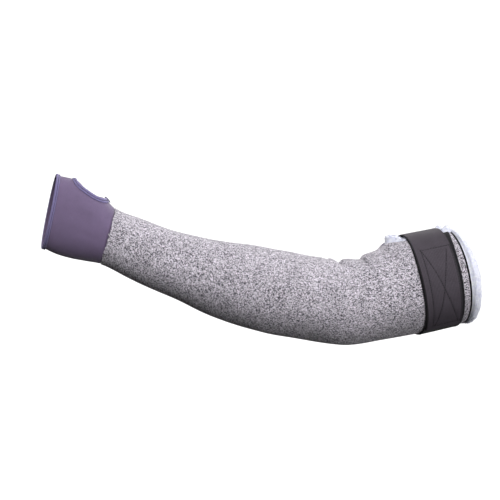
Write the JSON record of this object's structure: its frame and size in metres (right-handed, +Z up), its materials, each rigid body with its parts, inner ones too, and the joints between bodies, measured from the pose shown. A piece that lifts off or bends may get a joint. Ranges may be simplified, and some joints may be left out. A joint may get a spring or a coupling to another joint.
{
  "type": "cut resistant sleeve",
  "caption": "Heather knit arm sleeve bent at the elbow, with a stretch hand cuff and thumb opening, fleece-lined open slit, and a strap that closes round the upper arm.",
  "frame": {"origin": "middle of the arm's hollow at the elbow, where the arm sits", "axes": "+X along the arm from the hand end to the upper arm end, +Z up, on the side of the inner elbow, the slit and the thumb opening, +Y away from the side that the strap's free end is on"},
  "size_m": [0.4473, 0.0958, 0.1766],
  "materials": {
    "heather_knit": "heather knit of pale lavender grey and dark grey yarn",
    "pale_fleece": "soft brushed fleece",
    "dark_thread": "overlock thread",
    "stretch_jersey": "smooth stretch jersey",
    "jersey_hem": "turned and stitched jersey",
    "loop_fabric": "dull loop fabric",
    "elastic_webbing": "ribbed elastic webbing"
  },
  "bodies": {
    "root": {"knit_sleeve": "heather_knit", "fleece_lining": "pale_fleece", "hem_edging": "dark_thread", "hand_cuff": "stretch_jersey", "front_hem": "jersey_hem", "thumb_hem": "jersey_hem", "loop_band": "loop_fabric", "closing_strap": "elastic_webbing"}
  },
  "joints": []
}
